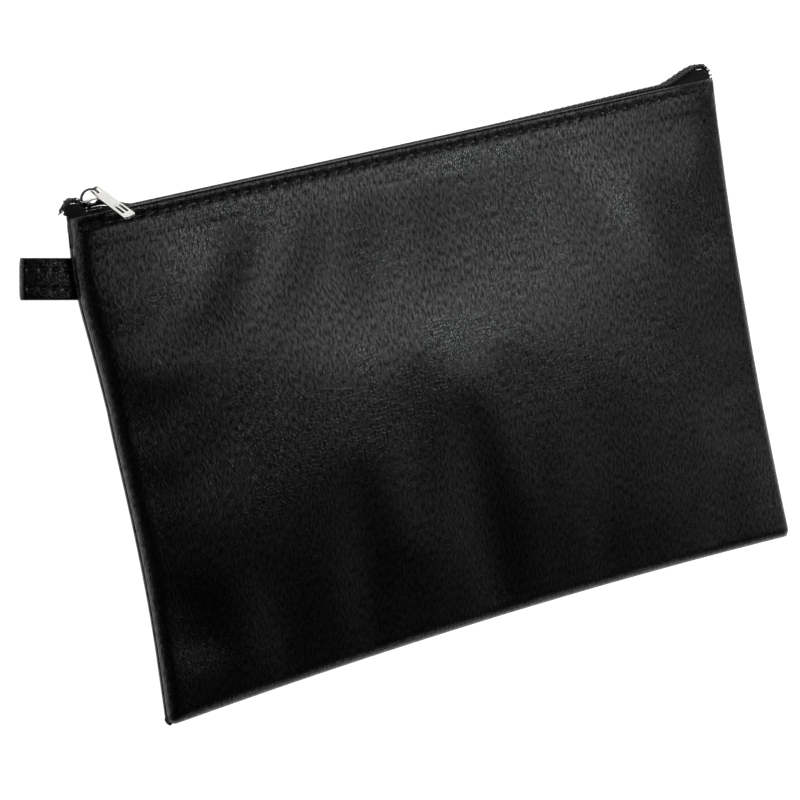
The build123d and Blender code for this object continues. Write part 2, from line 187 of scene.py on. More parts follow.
def tubes(name, paths, radius, sides, material, closed_ends=True):
    """Round threads along several lists of points, in one mesh."""
    points, faces, sheet = [], [], []
    start = 0
    turn = np.linspace(0, 2 * pi, sides, endpoint=False)
    for path in paths:
        path = np.asarray(path, float)
        along = np.gradient(path, axis=0)
        along /= np.linalg.norm(along, axis=1)[:, None]
        helper = np.array([0.0, 0.0, 1.0]) if abs(along[0][2]) < 0.8 else np.array([1.0, 0.0, 0.0])
        sides_a = []
        side = np.cross(along[0], helper)
        for step in along:
            side = side - step * (side @ step)
            side = side / np.linalg.norm(side)
            sides_a.append(side)
        across = np.array(sides_a)
        up = np.cross(along, across)
        sideways = np.outer(np.cos(turn), np.ones(3))[None] * across[:, None]
        ring = sideways + np.sin(turn)[None, :, None] * up[:, None]
        scale = np.ones(len(path))
        if closed_ends:
            scale[0] = scale[-1] = 0.35
        tube = path[:, None] + ring * (radius * scale)[:, None, None]
        points.append(tube.reshape(-1, 3))
        lengths = np.concatenate([[0], np.cumsum(np.linalg.norm(np.diff(path, axis=0), axis=1))])
        flat = np.zeros((len(path), sides, 3))
        flat[..., 0] = lengths[:, None]
        flat[..., 1] = turn[None, :] * radius
        sheet.append(flat.reshape(-1, 3))
        faces.extend(map(tuple, grid_faces(len(path), sides, True, start)))
        if closed_ends:
            faces.append(tuple(range(start, start + sides)))
            faces.append(tuple(range(start + len(path) * sides - 1, start + (len(path) - 1) * sides - 1, -1)))
        start += len(path) * sides
    obj = make_object(name, np.concatenate(points), faces, material)
    flat = obj.data.attributes.new("sheet", "FLOAT_VECTOR", "POINT")
    flat.data.foreach_set("vector", np.concatenate(sheet).reshape(-1).astype(np.float32))
    return obj


# ---------------------------------------------------------------- materials
class Nodes:
    """Short calls that add nodes to one material."""

    def __init__(self, name):
        self.material = bpy.data.materials.new(name)
        self.material.use_nodes = True
        self.tree = self.material.node_tree
        self.shader = self.tree.nodes["Principled BSDF"]

    def add(self, kind, inputs=(), **settings):
        node = self.tree.nodes.new(kind)
        for key, value in settings.items():
            setattr(node, key, value)
        for socket, value in dict(inputs).items():
            self.put(node.inputs[socket], value)
        return node

    def put(self, socket, value):
        if isinstance(value, bpy.types.NodeSocket):
            self.tree.links.new(value, socket)
        else:
            socket.default_value = value

    def set(self, **values):
        for key, value in values.items():
            self.put(self.shader.inputs[key.replace("_", " ")], value)

    def sheet(self, scale):
        """Flat coordinates of the sheet, stretched by a scale in cells per metre."""
        flat = self.add("ShaderNodeAttribute", attribute_name="sheet").outputs["Vector"]
        return self.add("ShaderNodeMapping", {"Vector": flat, "Scale": scale}).outputs[0]

    def place(self, scale):
        """Place in the row frame, stretched by a scale in cells per metre."""
        where = self.add("ShaderNodeTexCoord").outputs["Object"]
        return self.add("ShaderNodeMapping", {"Vector": where, "Scale": scale}).outputs[0]

    def noise(self, vector, scale=1.0, detail=3.0, roughness=0.55):
        inputs = {"Vector": vector, "Scale": scale, "Detail": detail, "Roughness": roughness}
        return self.add("ShaderNodeTexNoise", inputs).outputs[0]

    def range(self, value, low, high, to_low, to_high):
        inputs = {0: value, 1: low, 2: high, 3: to_low, 4: to_high}
        return self.add("ShaderNodeMapRange", inputs).outputs[0]

    def math(self, operation, a, b):
        return self.add("ShaderNodeMath", {0: a, 1: b}, operation=operation).outputs[0]

    def mix(self, factor, a, b):
        node = self.add("ShaderNodeMix", data_type="RGBA")
        self.put(node.inputs["Factor"], factor)
        self.put(node.inputs["A"], a)
        self.put(node.inputs["B"], b)
        return node.outputs["Result"]

    def bump(self, height, distance, strength=1.0, under=None):
        inputs = {"Height": height, "Distance": distance, "Strength": strength}
        if under is not None:
            inputs["Normal"] = under
        return self.add("ShaderNodeBump", inputs).outputs[0]


BLACK = (0.0016, 0.0018, 0.0021, 1)
# greyer colour for the edges of the leatherette: a painted highlight
PAINTED_HIGHLIGHT_GREY = (0.0085, 0.009, 0.0095, 1)


def leatherette(name):
    """Black embossed leatherette: upright pebbles 0.7 mm wide, satin, and a painted highlight: greyer in
    patches where the mesh's edge-highlight mask is set.
    """
    n = Nodes(name)
    pebbles = n.add(
        "ShaderNodeTexVoronoi",
        {"Vector": n.sheet((1500, 640, 1)), "Scale": 1.0, "Randomness": 0.95},
        feature="DISTANCE_TO_EDGE",
        voronoi_dimensions="2D",
    ).outputs[0]
    pebble = n.range(pebbles, 0.0, 0.22, 0.0, 1.0)
    pores = n.noise(n.sheet((5200, 3800, 1)), detail=2)
    creases = n.noise(n.sheet((520, 210, 1)), detail=4, roughness=0.6)
    blotches = n.noise(n.sheet((38, 30, 1)), detail=3)
    streaks = n.noise(n.sheet((1150, 420, 1)), detail=2)
    # the edge-highlight mask, broken into patches: there the leather is smoother, and its greyer colour is a
    # painted highlight
    highlight_mask = n.add("ShaderNodeAttribute", attribute_name="edge_highlight").outputs["Fac"]
    rubbed = n.math("MULTIPLY", highlight_mask, n.range(creases, 0.4, 0.62, 0.0, 1.0))
    tone = n.mix(n.range(blotches, 0.3, 0.7, 0.0, 0.45), BLACK, (0.0034, 0.0038, 0.0042, 1))
    n.set(
        Base_Color=n.mix(rubbed, tone, PAINTED_HIGHLIGHT_GREY),
        Roughness=n.math(
            "SUBTRACT",
            n.math("ADD", n.range(blotches, 0.3, 0.7, 0.26, 0.3), n.range(pebble, 0, 1, 0.06, 0.0)),
            n.math("MULTIPLY", rubbed, 0.06),
        ),
        Specular_IOR_Level=n.range(streaks, 0.36, 0.64, 0.2, 0.8),
    )
    low = n.bump(creases, 0.10 * MM, 0.5)
    grain = n.bump(pebble, 0.045 * MM, 0.75, low)
    n.set(Normal=n.bump(pores, 0.02 * MM, 0.6, grain))
    return n.material


def backing(name):
    """Knitted fabric on the back of the leatherette."""
    n = Nodes(name)
    wales = n.add(
        "ShaderNodeTexWave",
        {"Vector": n.sheet((1, 1, 1)), "Scale": 420.0, "Distortion": 1.2, "Detail": 2.0, "Detail Scale": 1.5},
        bands_direction="X",
    ).outputs["Fac"]
    courses = n.add(
        "ShaderNodeTexWave",
        {"Vector": n.sheet((1, 1, 1)), "Scale": 520.0, "Distortion": 1.0, "Detail": 2.0, "Detail Scale": 1.5},
        bands_direction="Y",
    ).outputs["Fac"]
    knit = n.math("MULTIPLY", wales, courses)
    fluff = n.noise(n.sheet((900, 900, 1)), detail=4)
    lint = n.range(fluff, 0.35, 0.75, 0.0, 0.5)
    n.set(
        Base_Color=n.mix(
            n.math("ADD", n.math("MULTIPLY", knit, 0.5), lint),
            (0.011, 0.011, 0.012, 1),
            (0.045, 0.045, 0.047, 1),
        ),
        Roughness=0.92,
        Sheen_Weight=0.15,
        Sheen_Roughness=0.5,
    )
    n.set(Normal=n.bump(fluff, 0.1 * MM, 0.4, n.bump(knit, 0.16 * MM, 0.8)))
    return n.material


def tape_weave(name):
    """Woven polyester tape: twill ribs along the zip, and paler ribs beside the coil."""
    n = Nodes(name)
    ribs = n.add(
        "ShaderNodeTexWave",
        {"Vector": n.sheet((1, 1, 1)), "Scale": 380.0, "Distortion": 0.4, "Detail": 1.0},
        bands_direction="Y",
        wave_profile="SIN",
    ).outputs["Fac"]
    twill = n.add(
        "ShaderNodeTexWave",
        {"Vector": n.sheet((1, 1, 1)), "Scale": 620.0, "Distortion": 0.3, "Detail": 1.0},
        bands_direction="DIAGONAL",
    ).outputs["Fac"]
    weave = n.math("ADD", n.math("MULTIPLY", ribs, 0.6), n.math("MULTIPLY", twill, 0.4))
    fuzz = n.noise(n.sheet((2600, 2600, 1)), detail=3)
    n.set(
        Base_Color=n.mix(
            n.math("MULTIPLY", weave, n.range(fuzz, 0.3, 0.7, 0.4, 1.0)),
            (0.003, 0.003, 0.0035, 1),
            (0.017, 0.017, 0.019, 1),
        ),
        Roughness=n.range(weave, 0, 1, 0.85, 0.68),
        Sheen_Weight=0.08,
    )
    n.set(Normal=n.bump(fuzz, 0.04 * MM, 0.5, n.bump(weave, 0.12 * MM, 0.9)))
    return n.material


def nylon(name):
    """Drawn black nylon of the coil."""
    n = Nodes(name)
    drawn = n.noise(n.place((2500, 2500, 2500)), detail=2)
    scuffs = n.noise(n.place((300, 300, 300)), detail=3)
    n.set(
        Base_Color=n.mix(
            n.range(scuffs, 0.4, 0.7, 0, 1),
            (0.003, 0.003, 0.0034, 1),
            (0.008, 0.008, 0.009, 1),
        ),
        Roughness=n.range(drawn, 0.3, 0.7, 0.28, 0.42),
        Specular_IOR_Level=0.55,
        Normal=n.bump(drawn, 0.02 * MM, 0.5),
    )
    return n.material


def sewing_thread(name):
    """Three-ply black polyester thread, twisted."""
    n = Nodes(name)
    plies = n.add(
        "ShaderNodeTexWave",
        {"Vector": n.sheet((1, 1, 1)), "Scale": 520.0, "Distortion": 0.3, "Detail": 1.0},
        bands_direction="DIAGONAL",
    ).outputs["Fac"]
    fibres = n.noise(n.sheet((3500, 9000, 1)), detail=3)
    n.set(
        Base_Color=n.mix(
            n.math("MULTIPLY", plies, fibres),
            (0.0022, 0.0022, 0.0026, 1),
            (0.010, 0.010, 0.011, 1),
        ),
        Roughness=n.range(plies, 0, 1, 0.62, 0.48),
        Sheen_Weight=0.05,
    )
    n.set(Normal=n.bump(fibres, 0.03 * MM, 0.5, n.bump(plies, 0.12 * MM, 0.8)))
    return n.material


def nickel(name, bright, rubbed):
    """Nickel-plated zinc casting: faintly uneven, with fine rubbed scratches."""
    n = Nodes(name)
    cast = n.noise(n.place((420, 420, 420)), detail=4)
    rubs = n.noise(n.place((260, 3800, 3800)), detail=3)
    spots = n.noise(n.place((1500, 1500, 1500)), detail=2)
    dull = n.range(spots, 0.58, 0.72, 0.0, 0.35)
    n.set(
        Base_Color=n.mix(dull, bright, rubbed),
        Metallic=1.0,
        Roughness=n.math("ADD", n.range(rubs, 0.35, 0.7, 0.14, 0.27), n.math("MULTIPLY", dull, 0.3)),
    )
    n.set(Normal=n.bump(rubs, 0.012 * MM, 0.35, n.bump(cast, 0.05 * MM, 0.45)))
    return n.material


leather = leatherette("leatherette")
knit = backing("leatherette_backing")
tape_cloth = tape_weave("zip_tape")
coil_nylon = nylon("zip_coil")
thread = sewing_thread("sewing_thread")
metal = nickel("nickel_plate", (0.66, 0.65, 0.62, 1), (0.34, 0.33, 0.3, 1))
# the same nickel with dark colours: a painted dark reflection, used on the slider's arch
nickel_painted_dark = nickel("nickel_painted_dark_reflection", (0.07, 0.065, 0.065, 1), (0.2, 0.19, 0.18, 1))


# ---------------------------------------------------------------- shape of the bag
def along(x):
    """0 at the left seam, 1 at the right one."""
    return (x - LEFT) / (RIGHT - LEFT)


def aloft(y):
    """0 at the bottom seam, 1 at the mouth."""
    return (y - FOOT) / (MOUTH - FOOT)


def outline(x, y):
    """Bends the rectangle of the two panels to the outline of the filled bag, corners rounded."""
    u = np.clip(along(x), 0, 1)
    v = np.clip(aloft(y), 0, 1)
    left = -LEFT_SWAY * np.sin(2 * pi * (v - 0.53) / 1.06) - 1.9 * MM * bell(0.88, 0.12, v)
    left = left - 2.4 * MM * np.clip(1 - v / 0.62, 0, 1) ** 0.7
    right = -RIGHT_SAG * 4 * v * (1 - v)
    foot = FOOT_SAG * 4 * u * (1 - u)
    bent_x = x + left * (1 - u) ** 2 + right * u**2
    bent_y = y + foot * (1 - v) ** 2
    near = CORNER
    for corner_x, corner_y in ((LEFT, FOOT), (RIGHT, FOOT)):
        a = np.clip(1 - np.abs(x - corner_x) / near, 0, 1)
        b = np.clip(1 - np.abs(y - corner_y) / near, 0, 1)
        inward_x = 1 if corner_x == LEFT else -1
        bent_x = bent_x + inward_x * near * a * (1 - np.sqrt(1 - b * b / 2))
        bent_y = bent_y + near * b * (1 - np.sqrt(1 - a * a / 2))
    return bent_x, bent_y


def hem_height(x):
    """Outer face of the hem above the seam plane, a little flatter near both side seams."""
    pinch = ease(LEFT - 6 * MM, LEFT + 8 * MM, x) * ease(LEFT - 2 * MM, LEFT + 16 * MM, LEFT + RIGHT - x)
    return HEM_END + (HEM - HEM_END) * pinch


def edge_roll(x):
    """Share of a panel's height that is left near the side seams."""
    depth = np.clip(np.minimum(x - LEFT, RIGHT - x), 0, ROLL)
    return (LIP + (WALL - LIP) * np.sqrt(1 - (1 - depth / ROLL) ** 2)) / WALL


def rough_pillow(x, y, crown):
    """Height of a panel over the seam plane before the cloth is simulated."""
    u = np.clip(along(x), 0, 1)
    v = np.clip(aloft(y), 0, 1)
    peak = 0.46
    rise = np.where(v < peak, 1 - ((peak - v) / peak) ** 2, np.cos(pi / 2 * (v - peak) / (1 - peak)) ** 2)
    cross = 1 - (2 * u - 1) ** 2
    hem = (hem_height(x) - WALL) * ease(0.5, 1, v)
    return WALL + (crown - WALL) * rise * cross**0.85 + hem


SIM_CELL = 2.65 * MM
SIM_FRAMES = 20
SIM_CAP = 9 * MM
STIFF_PASSES = 14


def drape(crown, seed):
    """Inflates a leatherette sheet pinned along its seams and its hem, with cloth simulation.

    Returns the grid's coordinates and the heights that the sheet settles at.
    """
    columns = np.linspace(LEFT, RIGHT, round((RIGHT - LEFT) / SIM_CELL) + 1)
    rows = np.linspace(FOOT, MOUTH, round((MOUTH - FOOT) / SIM_CELL) + 1)
    x, y = np.meshgrid(columns, rows)
    start = rough_pillow(x, y, crown * 0.8)
    slack = 0.25 * MM * (
        np.sin(x * 95 + 1.7 * np.sin(y * 60 + seed)) + np.sin(y * 120 + 2.1 * np.sin(x * 41 + 2 * seed))
    )
    inner = ease(0, 20 * MM, np.minimum(np.minimum(x - LEFT, RIGHT - x), np.minimum(y - FOOT, MOUTH - y)))
    begin = start + slack * inner
    points = np.stack([x, y, begin], -1)
    obj = grid_object("drape", points, leather)
    pinned = obj.vertex_groups.new(name="pinned")
    edge = np.minimum(np.minimum(x - LEFT, RIGHT - x), y - FOOT)
    hem_foot = MOUTH - HEM_DEPTH
    hold = np.maximum(1 - ease(0, 4 * MM, edge), ease(hem_foot - 6 * MM, hem_foot + 2 * MM, y))
    for index, weight in enumerate(hold.reshape(-1)):
        pinned.add([index], float(weight), "REPLACE")
    cloth = obj.modifiers.new("cloth", "CLOTH")
    settings = cloth.settings
    settings.quality = 5
    settings.mass = 0.25
    settings.tension_stiffness = 25
    settings.compression_stiffness = 25
    settings.shear_stiffness = 12
    settings.bending_stiffness = 25
    settings.tension_damping = 8
    settings.compression_damping = 8
    settings.bending_damping = 1.0
    settings.air_damping = 2.0
    settings.vertex_group_mass = "pinned"
    settings.pin_stiffness = 1.0
    settings.use_pressure = True
    settings.uniform_pressure_force = 4.0
    settings.shrink_min = -0.003
    settings.shrink_max = -0.003
    settings.effector_weights.gravity = 0
    cloth.collision_settings.use_collision = False
    cloth.point_cache.frame_start = 1
    cloth.point_cache.frame_end = SIM_FRAMES
    scene = bpy.context.scene
    for step in range(1, SIM_FRAMES + 1):
        scene.frame_set(step)
    graph = bpy.context.evaluated_depsgraph_get()
    mesh = obj.evaluated_get(graph).data
    settled = np.empty(len(mesh.vertices) * 3)
    mesh.vertices.foreach_get("co", settled)
    height = settled.reshape(*x.shape, 3)[..., 2]
    moved = np.clip(height - begin, -SIM_CAP, SIM_CAP)
    print(f"drape: crown {crown / MM:.1f} mm, moved {moved.min() / MM:.1f} to {moved.max() / MM:.1f} mm")
    bpy.data.objects.remove(obj)
    scene.frame_set(1)
    height = begin + moved
    # the sheet is stiff: it bridges the small wrinkles of the simulated cloth
    for _ in range(STIFF_PASSES):
        padded = np.pad(height, 1, mode="edge")
        around = padded[:-2, 1:-1] + padded[2:, 1:-1] + padded[1:-1, :-2] + padded[1:-1, 2:]
        height = 0.5 * height + 0.125 * around
    # full height back to the crown that the frame gives
    over = height - WALL
    height = WALL + over * ((crown - WALL) / over.max())
    return columns, rows, height


def sample(field, x, y):
    """Heights of a draped grid at other places, bilinear."""
    columns, rows, height = field
    i = np.clip((x - columns[0]) / (columns[1] - columns[0]), 0, len(columns) - 1.001)
    j = np.clip((y - rows[0]) / (rows[1] - rows[0]), 0, len(rows) - 1.001)
    i0 = i.astype(int)
    j0 = j.astype(int)
    a = i - i0
    b = j - j0
    low = height[j0, i0] * (1 - a) + height[j0, i0 + 1] * a
    high = height[j0 + 1, i0] * (1 - a) + height[j0 + 1, i0 + 1] * a
    return low * (1 - b) + high * b


def roll_profile():
    """From the raw edge inside the bag, through the seam and over the rolled edge: depth from the outline,
    share of the wall's height, and whether the point lies in the seam."""
    inside = [(ALLOWANCE, 0, 1), (ALLOWANCE * 0.6, 0, 1), (2.2 * MM, 0, 1), (1.1 * MM, 0, 1)]
    curl = []
    for angle in np.radians([-75, -50, -25]):
        curl.append((CURL * (1 - cos(angle)), (LIP + CURL * sin(angle)) / WALL, 0))
    over = []
    for angle in np.radians(np.linspace(0, 84, 9)):
        over.append((ROLL * (1 - cos(angle)), (LIP + (WALL - LIP) * sin(angle)) / WALL, 0))
    return np.array(inside + curl + over)


profile = roll_profile()
inner_x = np.arange(LEFT + ROLL + CELL, RIGHT - ROLL - CELL / 2, CELL)
COLUMNS = np.concatenate([LEFT + profile[:, 0], inner_x, RIGHT - profile[::-1, 0]])
COLUMN_RISE = np.concatenate([profile[:, 1], np.ones(len(inner_x)), profile[::-1, 1]])
COLUMN_SEAM = np.concatenate([profile[:, 2], np.zeros(len(inner_x)), profile[::-1, 2]])
hem_depths = [13, 11.6, 10.9, 10, 8.6, 7.4, 6.4, 5.6, 5.0, 4.5, 4.0, 3.5, 3.0, 2.4, 1.8, 1.3]
hem_rows = MOUTH - np.array(hem_depths) * MM
inner_y = np.arange(FOOT + ROLL + CELL, hem_rows[0] - CELL / 2, CELL * 1.08)
fold_angles = np.radians([90, 65, 40, 15, -10, -40, -70, -90])
under_rows = MOUTH - FOLD - np.array([1.5, 4, 7, 10]) * MM
ROWS = np.concatenate([
    FOOT + profile[:, 0],
    inner_y,
    hem_rows,
    MOUTH - FOLD + FOLD * np.cos(fold_angles),
    under_rows,
])
ROW_RISE = np.concatenate([profile[:, 1], np.ones(len(ROWS) - len(profile))])
ROW_SEAM = np.concatenate([profile[:, 2], np.zeros(len(ROWS) - len(profile))])
FOLD_START = len(profile) + len(inner_y) + len(hem_rows)

stitch_count = round((RIGHT - LEFT - 2 * STITCH_END) / STITCH_PITCH)
STITCHES = np.linspace(LEFT + STITCH_END, RIGHT - STITCH_END, stitch_count)


def build_skin(side, crown, seed):
    """Outer face of one panel, as an array of points and how much painted highlight each gets on the rolled
    edges and the hem's fold.
    """
    field = drape(crown, seed)
    x, y = np.meshgrid(COLUMNS, ROWS)
    rise = COLUMN_RISE[None, :] * ROW_RISE[:, None]
    seam = np.maximum(COLUMN_SEAM[None, :], ROW_SEAM[:, None]) > 0
    height = sample(field, x, np.minimum(y, MOUTH - FOLD))
    if side < 0:
        # the back settles on the table
        limit = REST - 0.02 * MM
        over = (height - limit) / (1.2 * MM)
        height = limit - 1.2 * MM * np.log1p(np.exp(-np.clip(over, -40, 40)))
    # channel of the topstitch, deeper at the needle holes and at the left end
    below = y - (MOUTH - STITCH_LINE)
    holes = np.cos(2 * pi * (x - STITCHES[0]) / (STITCHES[1] - STITCHES[0]))
    depth = 0.42 - 0.24 * holes + 0.5 * bell(0, 0.08, along(x))
    channel = depth * MM * bell(0, 1.15 * MM, below)
    below_hem = ease(-1.2 * MM, 0.4 * MM, y - (MOUTH - HEM_DEPTH)) - 1
    ledge = 0.16 * MM * below_hem * ease(0, 20 * MM, y - (MOUTH - 40 * MM))
    height = height * rise + (ledge - channel) * (rise > 0.9)
    # the hem folds over and runs back down inside
    top = hem_height(x) * COLUMN_RISE[None, :]
    fold = np.arange(len(ROWS)) >= FOLD_START
    angle = np.full(len(ROWS), -pi / 2)
    angle[FOLD_START:FOLD_START + len(fold_angles)] = fold_angles
    folded = top - FOLD * (1 - np.sin(angle))[:, None]
    height = np.where(fold[:, None], folded, height)
    height = np.maximum(height, SEAM_HALF)
    height = np.where(seam, SEAM_HALF, height)
    bent_x, bent_y = outline(x, y)
    points = np.stack([bent_x, bent_y, SEAM + side * height], -1)
    # painted highlight on the rolled edges and along the fold of the hem
    edge = bell(0, 0.35, ROW_RISE - 0.55)[:, None] + bell(0, 0.35, COLUMN_RISE - 0.55)[None, :]
    highlight_mask = np.clip(edge, 0, 1) * (rise < 0.98)
    highlight_mask = np.maximum(highlight_mask, bell(MOUTH, 0.9 * MM, y) * 0.9)
    return points, highlight_mask


def flat_coordinates(points):
    """Arc lengths over a grid of points: where each lay on the flat sheet."""
    across = np.linalg.norm(np.diff(points, axis=1), axis=2)
    up = np.linalg.norm(np.diff(points, axis=0), axis=2)
    middle = points.shape[0] // 2
    u = np.concatenate([[0], np.cumsum(across[middle])])
    v = np.concatenate([[0], np.cumsum(up[:, points.shape[1] // 2])])
    flat = np.zeros(points.shape)
    flat[..., 0] = u[None, :]
    flat[..., 1] = v[:, None]
    return flat


front_points, front_highlight = build_skin(1, CROWN - 0.2 * MM, 1.0)
back_points, back_highlight = build_skin(-1, CROWN - 0.2 * MM, 2.6)


def bend_with_mouth(obj):
    """Bakes the transform of a piece of one half into its mesh and reads its points."""
    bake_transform(obj)
    count = len(obj.data.vertices)
    points = np.empty(count * 3)
    obj.data.vertices.foreach_get("co", points)


def panel(side, points, highlight_mask, name, node):
    obj = grid_object(name, points, leather, flip=side < 0, sheet=flat_coordinates(points), edge_highlight=highlight_mask)
    thicken(obj, SHEET, knit)
    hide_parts(node)
    bend_with_mouth(obj)
    return obj


panel(1, front_points, front_highlight, "front_skin", "front_panel")
panel(-1, back_points, back_highlight, "back_skin", "back_panel")


# ---------------------------------------------------------------- topstitch
def surface_at(points, x, row):
    """Point of a skin's grid at a place along the zip, on one row."""
    line = points[row]
    inner = slice(len(profile), -len(profile))
    return np.array([np.interp(x, COLUMNS[inner], line[inner, axis]) for axis in range(3)])


stitch_row = len(profile) + len(inner_y) + int(np.argmin(np.abs(hem_rows - (MOUTH - STITCH_LINE))))


def topstitch(side, points, name, node):
    """Long stitches that dive into the hem at both ends."""
    paths = []
    for n, x in enumerate(STITCHES):
        path = []
        lean = 0.22 * MM * hashed(n, side)
        for t in np.linspace(-1, 1, 9):
            place = surface_at(points, x + t * STITCH_LENGTH / 2, stitch_row)
            lift = 0.20 * MM - 0.75 * MM * max(abs(t) - 0.62, 0) / 0.38
            path.append(place + np.array([0, lean * t, side * lift]))
        paths.append(path)
    obj = tubes(name, paths, THREAD_RADIUS, 8, thread)
    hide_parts(node)
    bend_with_mouth(obj)


topstitch(1, front_points, "topstitch_thread_front", "topstitch_front")
topstitch(-1, back_points, "topstitch_thread_back", "topstitch_back")


# ---------------------------------------------------------------- zip
def chain_level(x):
    """Middle of the chain: low between the hems, at the slider's level at rest, and proud at both ends."""
    level = CHAIN_LEVEL + 1.4 * MM * ease(0.55, 0.95, along(x))
    level = level + (COIL_MIDDLE - CHAIN_LEVEL) * (1 - ease(SLIDER_X + 2 * MM, SLIDER_X + 17 * MM, x))
    level = level + 2.7 * MM * (1 - ease(LEFT + 1.5 * MM, SLIDER_X - 2.5 * MM, x))
    level = level - 3.6 * MM * (1 - ease(LEFT - 4.6 * MM, LEFT + 0.4 * MM, x))
    ramp = np.clip((x - RIGHT + 24 * MM) / (17 * MM), 0, 1)
    hump = 0.5 * (ramp + ease(0, 1, ramp)) * (1 - ease(RIGHT - 6 * MM, RIGHT + 1.5 * MM, x) ** 1.6)
    return level + 4.9 * MM * hump


def squeeze(x):
    """How wide the chain and its tapes stay where they are caught in the side seams."""
    at_left = 0.45 + 0.55 * ease(LEFT - 3 * MM, LEFT + 2.5 * MM, x)
    at_right = 1 - 0.6 * ease(RIGHT - 6 * MM, RIGHT, x)
    return at_left * at_right


CHAIN_LEFT = LEFT - 3.6 * MM
CHAIN_RIGHT = RIGHT - 0.6 * MM


def coil(side, name, node):
    """Helix of nylon, its heads between the heads of the other side."""
    turns = int((CHAIN_RIGHT - CHAIN_LEFT) / COIL_PITCH)
    steps = 14
    theta = np.linspace(0, 2 * pi * turns, turns * steps + 1)
    x = CHAIN_LEFT + COIL_PITCH * theta / (2 * pi) + (COIL_PITCH / 2 if side > 0 else 0)
    lean = 0.28 * COIL_PITCH * np.sin(theta) * side
    z = (COIL_CENTRE + COIL_REACH * np.cos(theta)) * squeeze(x)
    y = chain_level(x) + COIL_RISE * np.sign(np.sin(theta)) * np.abs(np.sin(theta)) ** 0.7
    path = np.stack([x + lean, y, SEAM + side * z], -1)
    paths = [path]
    for n in range(5):
        # cut ends of the coil, fanned out where the chain was trimmed
        x0 = CHAIN_LEFT + (0.35 + 0.8 * n) * MM
        start = np.array([x0, chain_level(x0) - 0.3 * MM, SEAM + side * (0.4 + 0.45 * n) * MM])
        spread = [-1.5 - 0.5 * hashed(n, side), 0.9 * hashed(n, 3 + side), side * 0.5 * hashed(n, 7)]
        tip = np.array(spread) * MM
        paths.append([start, start + 0.5 * tip + np.array([0, 0.25 * MM, 0]), start + tip])
    obj = tubes(name, paths, WIRE, 6, coil_nylon)
    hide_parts(node)
    bend_with_mouth(obj)


def core(side, name, node):
    """Filler cord inside the coil."""
    x = np.arange(CHAIN_LEFT, CHAIN_RIGHT, 1.5 * MM)
    path = np.stack([x, chain_level(x), SEAM + side * (COIL_CENTRE + 0.45 * MM) * squeeze(x)], -1)
    obj = tubes(name, [path], CORE, 8, thread)
    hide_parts(node)
    bend_with_mouth(obj)


def coil_stitches(side, name, node):
    """Two rows of stitches that sew the coil to its tape."""
    paths = []
    pitch = 2 * COIL_PITCH
    count = int((CHAIN_RIGHT - CHAIN_LEFT) / pitch)
    for n in range(count):
        for row, out in enumerate((COIL_CENTRE + 0.55 * MM, COIL_CENTRE + 1.25 * MM)):
            x = CHAIN_LEFT + (n + 0.5 * row + 0.3) * pitch
            path = []
            for t in np.linspace(-1, 1, 5):
                rise = COIL_RISE + WIRE + 0.08 * MM - 0.45 * MM * t * t
                place = x + t * 0.46 * pitch
                width = (out + 0.08 * MM * t) * squeeze(place)
                path.append((place, chain_level(place) + rise, SEAM + side * width))
            paths.append(path)
    obj = tubes(name, paths, 0.15 * MM, 5, thread)
    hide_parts(node)
    bend_with_mouth(obj)


def tape(side, name, node):
    """Tape from under its coil, out to the hem and down behind it."""
    x = np.arange(CHAIN_LEFT + 0.2 * MM, RIGHT - 0.3 * MM, 1.3 * MM)
    hem_inner = np.maximum(hem_height(x) * edge_roll(x) - 2 * FOLD - 0.35 * MM, 0.8 * MM)
    under = chain_level(x) - COIL_RISE - WIRE - TAPE / 2
    behind = np.minimum(MOUTH - 2.5 * MM, under - 0.1 * MM)
    t = np.linspace(0, 1, 12)[:, None]
    reach = (COIL_CENTRE + COIL_REACH + 0.5 * MM) * squeeze(x)
    y_ends = (under, under, np.maximum(under - 0.9 * MM, behind), behind)
    z_ends = (0.7 * MM * squeeze(x), reach, np.maximum(hem_inner, 0.8 * reach), hem_inner)
    weights = ((1 - t) ** 3, 3 * t * (1 - t) ** 2, 3 * t * t * (1 - t), t**3)
    y = sum(w * p[None, :] for w, p in zip(weights, y_ends))
    z = sum(w * p[None, :] for w, p in zip(weights, z_ends))
    low = MOUTH - HEM_DEPTH
    down = np.linspace(0, 1, 6)[1:, None]
    y = np.concatenate([y, behind[None, :] + (low - behind)[None, :] * down])
    z = np.concatenate([z, np.repeat(hem_inner[None, :], len(down), axis=0)])
    # the tape's end is cut at a slant, and below the mouth it stays inside the seam
    inside = LEFT + 1.6 * MM
    x = np.where(x < inside, x + (inside - x) * (1 - ease(MOUTH - 2 * MM, MOUTH + 2.4 * MM, y)), x)
    points = np.stack([x, y, SEAM + side * z], -1)
    obj = grid_object(name, points, tape_cloth, flip=side > 0, sheet=flat_coordinates(points))
    thicken(obj, TAPE)
    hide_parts(node)
    bend_with_mouth(obj)


for side, half in ((1, "front"), (-1, "back")):
    coil(side, f"nylon_coil_{half}", f"coil_{half}")
    core(side, f"filler_cord_{half}", f"coil_cord_{half}")
    coil_stitches(side, f"coil_stitches_{half}", f"coil_thread_{half}")
    tape(side, f"woven_tape_{half}", f"zipper_tape_{half}")


